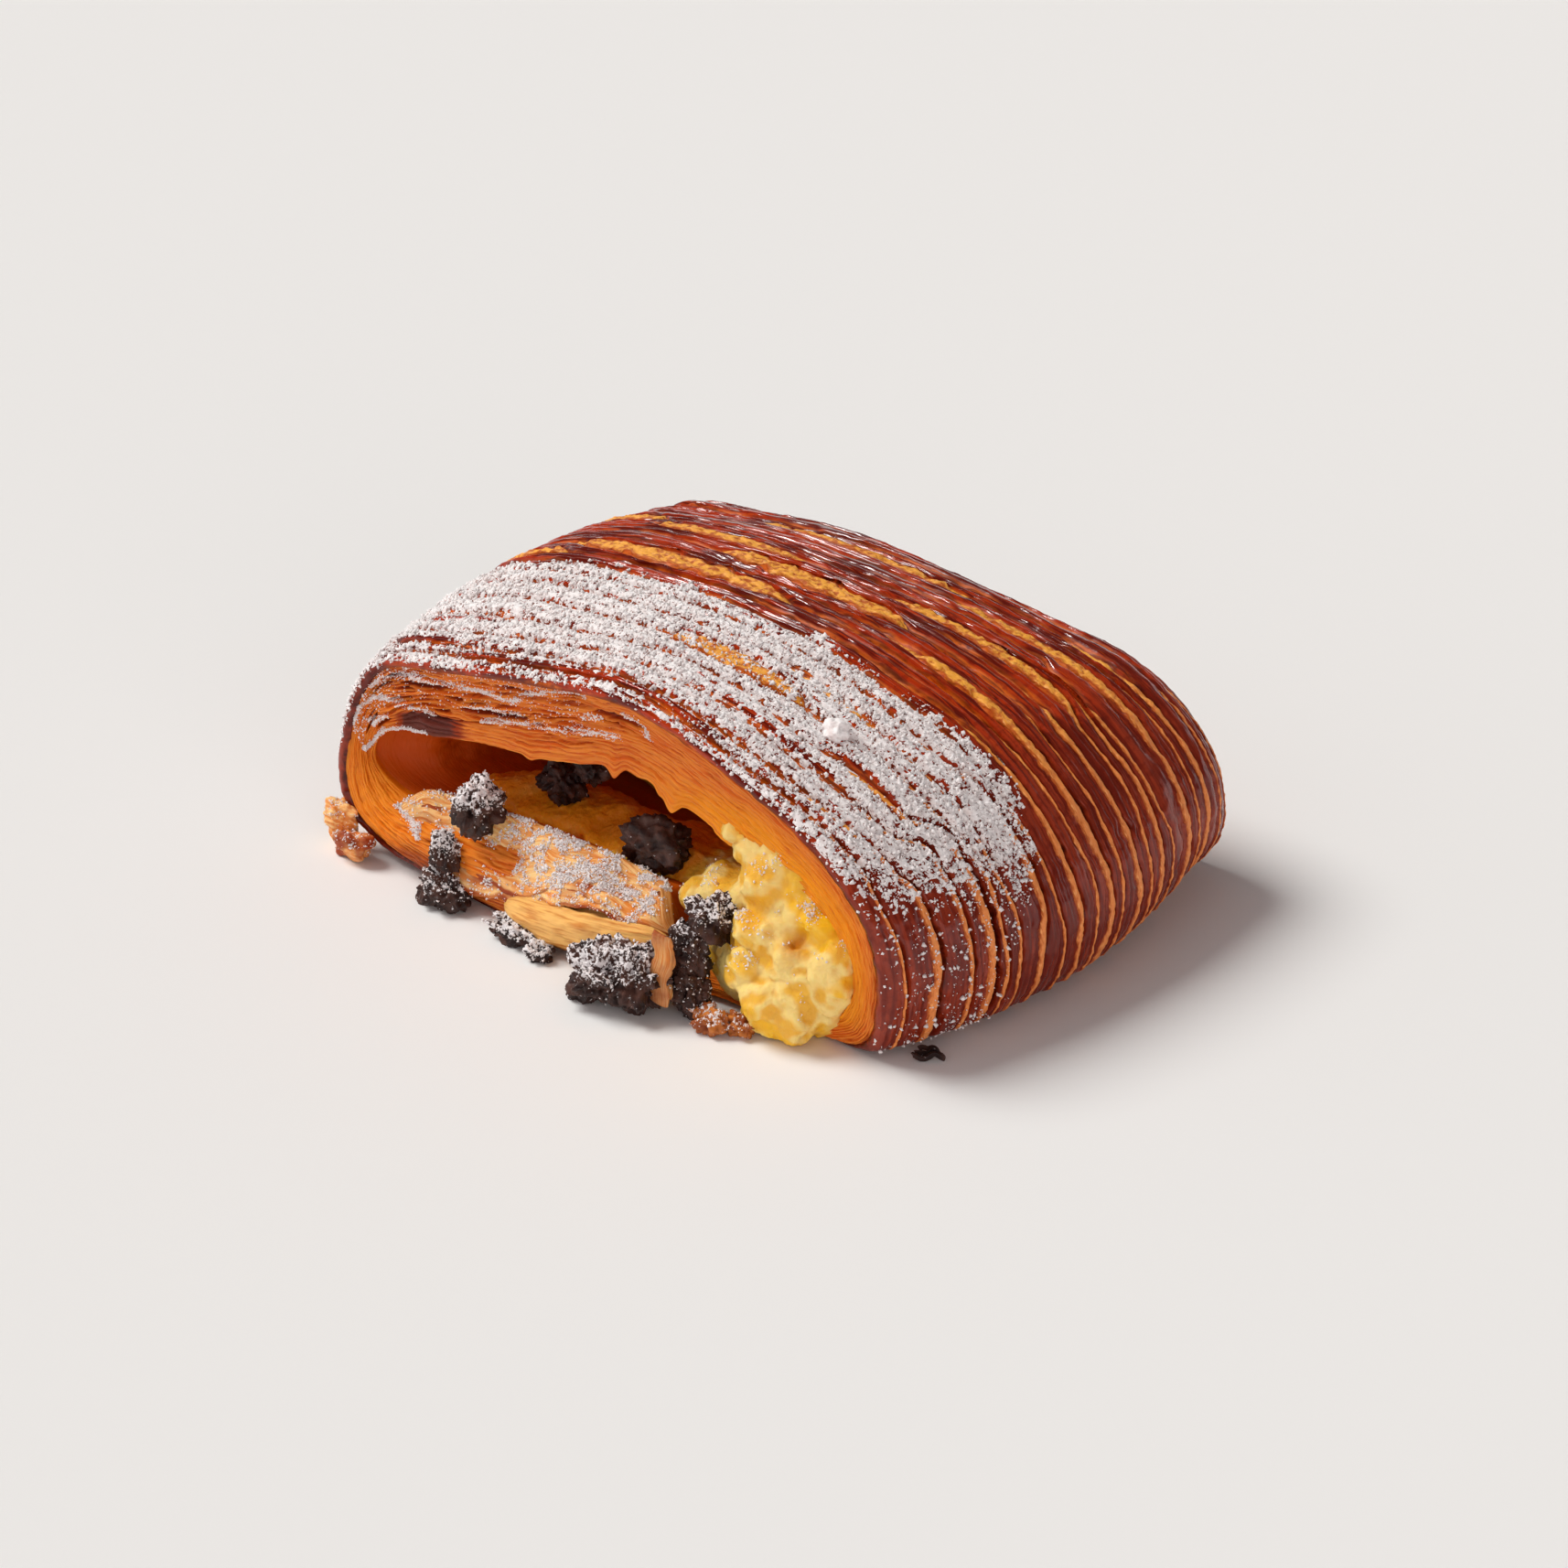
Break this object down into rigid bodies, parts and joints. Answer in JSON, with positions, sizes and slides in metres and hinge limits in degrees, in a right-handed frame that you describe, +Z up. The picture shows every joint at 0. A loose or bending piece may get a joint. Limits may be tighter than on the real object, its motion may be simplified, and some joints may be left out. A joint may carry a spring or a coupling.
{
  "type": "pain suisse",
  "caption": "Folded laminated pastry with a ridged, glazed crust, open at one end over custard and chocolate filling.",
  "frame": {"origin": "centre of the whole object's bounding box, on the surface it stands on", "axes": "+X across the open end, to the right seen from the front; -Y out of the open end; +Z up"},
  "size_m": [0.121, 0.0982, 0.0471],
  "materials": {
    "crust": "baked, egg-washed dough: glossy brown ridges, matt golden tears, powdered sugar",
    "custard": "soft pastry cream, satin",
    "chocolate": "baked dark chocolate, dusted with sugar",
    "flake": "crisp caramelised dough, satin",
    "sugar": "powdered sugar, matt"
  },
  "bodies": {
    "root": {"dough": "crust", "custard": "custard", "chocolate_lip": "chocolate", "chocolate_lip_small": "chocolate", "chocolate_corner": "chocolate", "chocolate_crumbs": "chocolate", "chocolate_crumb_end": "chocolate", "chocolate_pile": "chocolate", "chocolate_pile_right": "chocolate", "chocolate_upright": "chocolate", "chocolate_foot": "chocolate", "chocolate_custard": "chocolate", "chocolate_pocket": "chocolate", "chocolate_deep": "chocolate", "chocolate_deep_high": "chocolate", "caramel_bits": "flake", "caramel_bits_right": "flake", "flake_left": "flake", "flake_upright": "flake", "flake_right": "flake", "sugar_lump": "sugar"}
  },
  "joints": []
}
